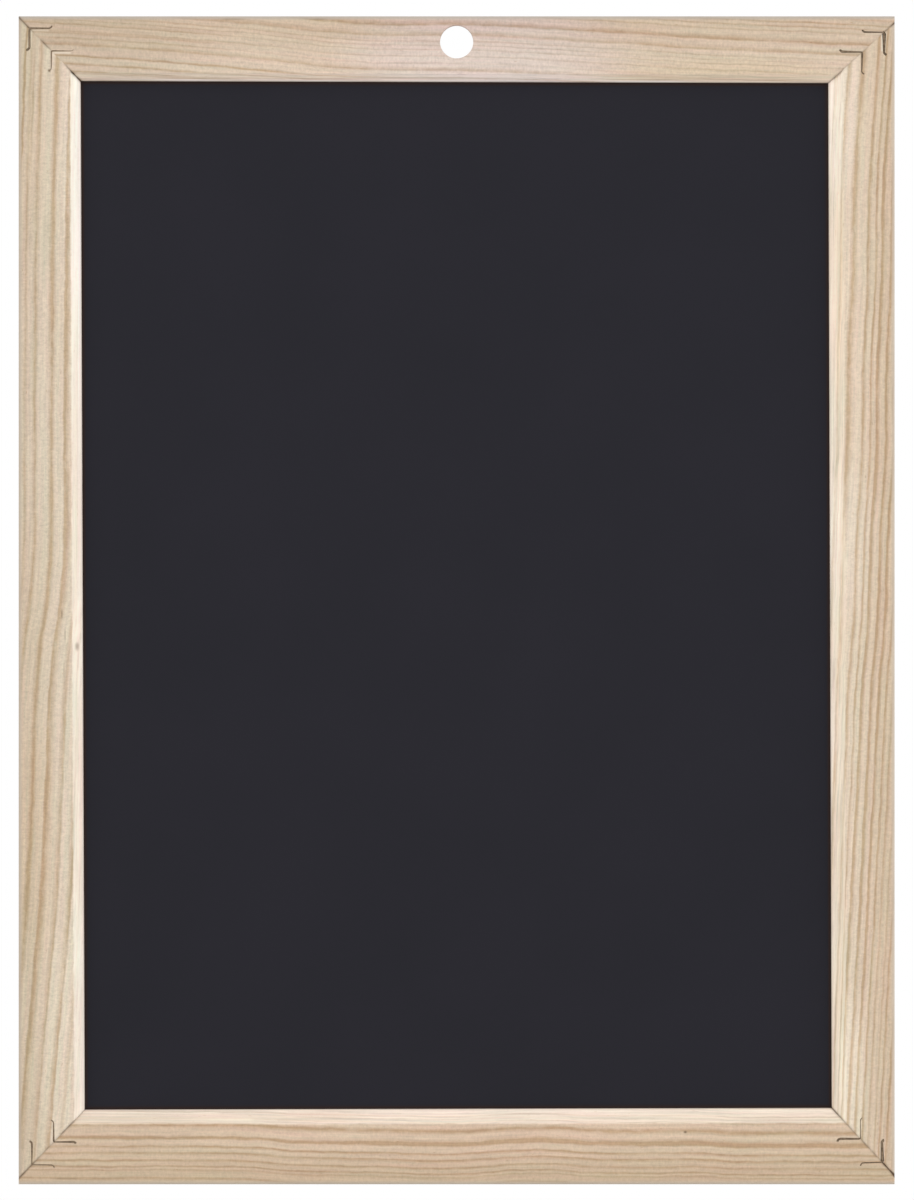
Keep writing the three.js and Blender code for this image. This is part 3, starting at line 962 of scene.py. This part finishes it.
def pine_finish(index):
    member = MEMBERS[index]
    name = member["name"]
    grain, tones, strengths = GRAIN[name], TONES[name], STRENGTHS[name]
    finish, shader, spot = start_finish(name + "_pine")
    across, depth, along = member_place(spot, index)

    def patches(place, fineness, length, **kind):
        """Noise in patches that are drawn out along the member."""
        return spot.noise(place * fineness, depth * fineness, along / length, **kind)

    # The rings, which are fainter in some places.
    wander = patches(across, 1 / 30, 45) * 1.1 + patches(across, 1 / 4, 7) * 0.9
    ring_place = across - along.curve(grain["drift"], "AUTO") + wander
    heart = ((ring_place - PITH["across"]) ** 2 + (depth - PITH["depth"]) ** 2) ** 0.5
    rings = heart.curve(ring_line(grain["rings"]))
    if "end_rings" in grain:
        end_rings = heart.curve(ring_line(grain["end_rings"]))
        rings = rings + end_rings * along.fade(*grain["end_fade"])
    further = (heart - from_pith(grain["rings"][-1][0])) / EVEN_RINGS
    rings = rings + further.maths("FRACT", further) ** 4 * further.fade(0, 0.3) * 0.6
    broken = patches(ring_place, 1 / 4, 24) + patches(ring_place, 1 / 1.2, 4)
    rings = rings ** 1.2 * (1.38 + broken * 2.0)

    # Where the bevels are. Their borders waver a little.
    past_edge = past_inner_edge(index, across, along)
    waver = spot.noise(depth / 4, 7, along / 5) * 0.8
    on_front = depth.fade(FRONT / 2 + 0.1, FRONT / 2 - 0.1)
    front_bevel = (past_edge + member["bevel"] + waver).fade(-0.35, 0.35) * on_front
    back_bevel = (past_edge + BACK_BEVEL + waver).fade(-0.35, 0.35) * (1 - on_front)
    bevel = front_bevel + back_bevel

    # The tones, the rings and the broad patches.
    tone = plain_colour(spot, tones["outer"]).mixed(across.fade(1, 17), colour(*tones["inner"]))
    # Painted light: the bevels are painted paler where they face the lamps, on top of the paler fresh-cut
    # wood.
    tone = tone.mixed(bevel, colour(*tones["bevel"]))
    tone = tone.mixed(bevel * past_edge.fade(-0.7 * member["bevel"], -0.3), colour(*tones["lip"]))
    tone = tone.mixed(rings * (1 - bevel * strengths["ring_fade"]), LATE_WOOD, "MULTIPLY")
    for x, z, wide, long, *change in CLOUDS[name]:
        away = ((across - x) / wide) ** 2 + ((along - z) / long) ** 2
        tone = tone.mixed(away.fade(1.2, 0.1), (*change, 1), "MULTIPLY")

    # The fine texture.
    streaks = patches(ring_place, 1.1, 26, detail=4, roughness=0.65)
    fibres = patches(ring_place, 2.6, 6, detail=3, roughness=0.65)
    mottle = patches(across, 0.65, 1, detail=3, roughness=0.9)
    ripple = spot.maths("SINE", along * (2 * math.pi / RIPPLE_PITCH) + wander * 4)
    ripple = ripple * patches(across, 1 / 3, 9).fade(-0.1, 0.3)
    bevel_lines = patches(ring_place, 1.5, 70, detail=3, roughness=0.55) * bevel
    light = 1 + streaks * 0.42 + ripple * (1 - bevel * 0.7) * strengths["ripples"]
    light = light + fibres * (strengths["fibres"] - bevel * 0.1)
    light = light + mottle * (1 - bevel * 0.75) * strengths["mottle"]
    light = light + bevel_lines * strengths["bevel_lines"]
    stripes = patches(ring_place, 1 / 1.6, 30, detail=3, roughness=0.6) * 0.33
    tint = patches(across, 1 / 1.1, 3, detail=3, roughness=0.7) * 0.035
    levels = {"X": light + stripes * 0.4 + tint * 0.4, "Y": light - stripes * 0.35 - tint * 0.5,
              "Z": light - stripes * 0.1 + tint}
    tone = tone.mixed(1, light.add("CombineXYZ", {}, levels), "MULTIPLY")
    dashes = patches(ring_place, 2, 2.2, detail=1).fade(0.19, 0.28)
    tone = tone.mixed(dashes * (1 - bevel * 0.5) * 0.8, RESIN, "MULTIPLY")

    # The greyer outer edge, and the painted highlight and painted shade at the lip.
    # The outer edge is greyer, most of all on the front.
    grey_rim = across.fade(1.5, 0.35) * (0.75 - depth.fade(FRONT + 0.5, FRONT + 2) * 0.5)
    tone = tone.mixed(grey_rim, colour(*tones["grey_rim"]))
    lip_highlight_width, lip_highlight = strengths["lip_highlight_width"], strengths["lip_highlight"]
    if name == "top_rail":
        lip_highlight = along.curve(TOP_LIP_HIGHLIGHT) * lip_highlight
    # A painted shade line just above the lip, in the late wood's colour.
    shade_line_above_lip = past_edge.fade(-2 * lip_highlight_width, -1.4 * lip_highlight_width)
    shade_line_above_lip = shade_line_above_lip * past_edge.fade(-lip_highlight_width, -1.2 * lip_highlight_width)
    tone = tone.mixed(shade_line_above_lip * on_front * lip_highlight * 0.5, LATE_WOOD, "MULTIPLY")
    # A painted highlight along the lip itself.
    lip = past_edge.fade(-lip_highlight_width, -0.7 * lip_highlight_width) * on_front
    tone = tone.mixed(lip * lip_highlight, LIP_HIGHLIGHT)
    # Painted shade, with a little dust, on the lip's rounded edge.
    tone = tone.mixed(past_edge.fade(-0.5, 0) * on_front * 0.5, LIP_SHADE)

    # Pressed wood and dirt at both ends. The dirt fades down the outer edge.
    pale, dirt, seam = 0, 0, 0
    for corner, spot_of, way in ((index, at_end, -1), (before(index), at_start, 1)):
        place_on_line, off_line = by_mitre(across, along, spot_of(index, 0), spot_of(index, 1))
        dark = place_on_line.curve(MITRE_LINES[CORNERS[corner]["name"]])
        dirt = dirt + dark * (off_line.fade(0.9, 0.1) * 0.45 + off_line.fade(0.35, 0.1) * 0.55)
        seam = seam + off_line.fade(0.22, 0.04)
        for nail_name, share in nail_spots(corner):
            leg, pressed = (NAIL_SHAPES[nail_name][part][index % 2] for part in ("legs", "pressed"))
            if pressed:
                pale = pale + beside_leg(across, along, spot_of(index, share), way * leg) * pressed
    tone = tone.mixed(pale * on_front * 0.7, PRESSED_WOOD)
    from_rim = across.least(along, length_of(index) - along)
    dirt = dirt * (1 - from_rim.fade(0.4, 0.05) * depth.fade(FRONT + 0.6, FRONT + 3))
    tone = tone.mixed(dirt * on_front * 0.85, MITRE_DIRT)
    tone = tone.mixed(seam * depth.fade(FRONT + 1, FRONT + LIP) * 0.4, MITRE_DIRT)
    for x, z, radius, longer, dark in SPECKS.get(name, []):
        away = ((across - x) ** 2 + ((along - z) / longer) ** 2) ** 0.5
        tone = tone.mixed(away.fade(radius, 0.1) * on_front * dark, SPECK)

    height = fibres * 0.4 + streaks * 0.3 + rings * 0.25 + ripple * 0.1
    cover(shader, tone, height, 0.35, 0.00012, Roughness=0.62 - rings * 0.08 + fibres * 0.1,
          Specular_IOR_Level=0.25)
    return finish


for index, piece in enumerate(wood):
    finish = pine_finish(index)
    dress(piece, finish)
    print(f"{finish.name}: {len(finish.node_tree.nodes)} nodes")

# %% [markdown]
# The finish of the sheets, the core and the nails
#
# The front sheet is a matt charcoal black that hardly shines, with a fine even tooth that takes
# chalk. Along the opening's edges a browner, darker band is painted on as the shade that the frame's
# lips cast. The back sheet is smooth and glossy, as a dry-wipe face is. The core is pressed brown
# fibre. The nails are dull rolled steel with a darker brown mottle.

# %% The finish of the sheets, the core and the nails
# The colour of the painted shade that the frame's lips cast on the front sheet.
LIP_SHADE_ON_SHEET = colour(52, 38, 32)


def black_finish():
    finish, shader, spot = start_finish("matt_black_sheet")
    tooth = spot.even_noise(2.6, detail=2)
    cloud = spot.even_noise(1 / 45, detail=3)
    tone = plain_colour(spot, (37, 37, 43)).mixed(tooth * 0.5 + cloud + 0.5, colour(41, 40, 47))
    # A browner, darker band along the opening's edges is painted shade from the frame's lips.
    edges = []
    for index in range(len(MEMBERS)):
        across, depth, along = member_place(spot, index)
        edges.append(past_inner_edge(index, across, along))
    from_edge = edges[0].least(*edges[1:])
    tone = tone.mixed(from_edge.fade(1.5, 0.4) * 0.8, LIP_SHADE_ON_SHEET)
    cover(shader, tone, tooth, 0.3, 0.00006, Roughness=0.78 + tooth * 0.1, Specular_IOR_Level=0.12)
    return finish


def white_finish():
    finish, shader, spot = start_finish("glossy_white_sheet")
    swell = spot.even_noise(1 / 40, detail=1)
    fine = spot.even_noise(1.5, detail=2)
    tone = plain_colour(spot, (237, 238, 237)).mixed(swell.fade(-0.3, 0.3), colour(239, 239, 238))
    cover(shader, tone, swell + fine * 0.1, 0.04, 0.0001, Roughness=0.16 + fine * 0.03,
          Specular_IOR_Level=0.5)
    return finish


def core_finish():
    finish, shader, spot = start_finish("pressed_fibre")
    x, y, z = spot.parts()
    strands = spot.noise(x * 1.4, y * 4, z * 1.2, detail=4, roughness=0.7)
    tone = plain_colour(spot, (96, 70, 47)).mixed(strands.fade(-0.25, 0.25), colour(138, 106, 76))
    cover(shader, tone, strands, 0.5, 0.0002, Roughness=0.85, Specular_IOR_Level=0.2)
    return finish


def steel_finish():
    finish, shader, spot = start_finish("dull_nail_steel")
    x, y, z = spot.parts()
    mottle = spot.even_noise(1.3, detail=4, roughness=0.6)
    rolled = spot.noise(x * 0.4, y * 9, z * 0.4, detail=2)
    tone = plain_colour(spot, (150, 130, 108)).mixed(mottle.fade(-0.1, 0.2), colour(108, 92, 74))
    metallic = 0.9 - mottle.fade(0.05, 0.3) * 0.5
    cover(shader, tone, mottle + rolled, 0.3, 0.00005, Metallic=metallic, Roughness=0.48 + mottle * 0.3)
    return finish


dress(sheets["front_writing_sheet"], black_finish())
dress(sheets["back_writing_sheet"], white_finish())
dress(frame["nodes"]["panel_core"], core_finish())
steel = steel_finish()
for nail in nails.values():
    dress(nail, steel)
print("the panel and the nails have their finishes")

# %% [markdown]
# What each piece stands for
#
# Nothing on the board moves, so every piece rides on its one body. Each hand-made piece takes the
# place of the plain CAD body of the same part.

# %% What each piece stands for
def register(piece, node):
    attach(piece, "root")
    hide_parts(node)


for index, piece in enumerate(wood):
    register(piece, MEMBERS[index]["name"])
for name, sheet in sheets.items():
    register(sheet, name)
for spot_name, nail in nails.items():
    register(nail, "v_nail_" + spot_name)

# %% [markdown]
# The floor and the light
#
# The photo is a cut-out on pure white. The world is white to the camera and in reflections, and a
# plain grey to the object, so that colours come out as they are written. Soft lamps from the left,
# the right and above give the bevels their shape, and a weaker one lights the back. The floor is a
# pale disc below the board, out of the front view, which fades to the white of the world.

# %% The floor and the light
FLOOR_DROP = 0.1
FLOOR_RADIUS = 1.3
FADE_START = 0.45
FADE_END = 0.95
AMBIENT = 0.705
LAMP_SIZE = 1.2
start_fresh()
bpy.ops.mesh.primitive_circle_add(vertices=128, radius=FLOOR_RADIUS, fill_type="NGON",
                                  location=(0, 0, cad_low.z - FLOOR_DROP))
floor = bpy.context.object
floor.name = "floor"
bpy.ops.object.transform_apply()
floor_finish, floor_shader, spot = start_finish("pale_floor")
far = spot.add("VectorMath", {"operation": "LENGTH"}, {0: spot}, output=1)
far = far.fade(FADE_START * FLOOR_RADIUS / MM, FADE_END * FLOOR_RADIUS / MM)
rays = spot.add("LightPath", {}, {})
white = spot.add("Emission", {}, {"Color": (1, 1, 1, 1), "Strength": 1})
connect(floor_shader, Base_Color=colour(232, 231, 229), Roughness=0.7, Specular_IOR_Level=0.2)
plain = Shade(spot.tree, floor_shader.outputs[0])
fading = spot.add("MixShader", {}, {0: far * rays, 1: plain, 2: white})
connect(spot.tree.nodes["Material Output"], Surface=fading)
dress(floor, floor_finish)
floor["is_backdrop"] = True

world = bpy.data.worlds.new("studio")
bpy.context.scene.world = world
world.use_nodes = True
rays = world.node_tree.nodes.new("ShaderNodeLightPath")
seen = Shade(world.node_tree, rays.outputs["Is Camera Ray"])
for kind in ("Is Glossy Ray", "Is Transmission Ray"):
    seen = seen.maths("MAXIMUM", seen, Shade(world.node_tree, rays.outputs[kind]))
strength = seen * (1 - AMBIENT) + AMBIENT
connect(world.node_tree.nodes["Background"], Color=(1, 1, 1, 1), Strength=strength)


def soft_lamp(name, spot, power):
    """A square lamp, in metres from the board's middle, that points at it."""
    lamp = bpy.data.objects.new(name, bpy.data.lights.new(name, "AREA"))
    bpy.context.scene.collection.objects.link(lamp)
    lamp.data.size = LAMP_SIZE
    lamp.data.energy = power
    lamp.location = (cad_low + cad_high) / 2 + Vector(spot)
    lamp.rotation_euler = (-Vector(spot)).to_track_quat("-Z", "Y").to_euler()
    lamp.visible_camera = False
    lamp.visible_glossy = False


soft_lamp("lamp_right", (2.4, -0.9, 0.3), 18)
soft_lamp("lamp_left", (-2.2, -1.3, 0.3), 10)
soft_lamp("lamp_above", (0, -1.6, 2.0), 10)
soft_lamp("lamp_behind", (0.8, 2.0, 1.2), 16)
bpy.context.scene.view_settings.view_transform = "Standard"
print("floor, world and four lamps made")

# %% [markdown]
# The camera
#
# The photo looks straight at the front, and its lines run parallel: the wall of the hole doesn't
# show. So the camera stands eight metres away with a long lens, level with the board's middle.

# %% The camera
CAMERA_DISTANCE = 8
PHOTO_HEIGHT = 0.41096
# The place on the board, in metres, that lies in the middle of the photo.
PHOTO_MIDDLE = {"x": 0.00012, "z": -0.1912}
camera = bpy.data.objects.new("camera", bpy.data.cameras.new("camera"))
bpy.context.scene.collection.objects.link(camera)
bpy.context.scene.camera = camera
camera.location = (PHOTO_MIDDLE["x"], -CAMERA_DISTANCE + FRONT * MM, PHOTO_MIDDLE["z"])
camera.rotation_euler = (QUARTER, 0, 0)
camera.data.lens = camera.data.sensor_width * CAMERA_DISTANCE / PHOTO_HEIGHT
camera.data.clip_end = 40
print(f"a lens of {camera.data.lens:.0f} mm at {CAMERA_DISTANCE} m")

# %% The bounds of the finished board
low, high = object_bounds()
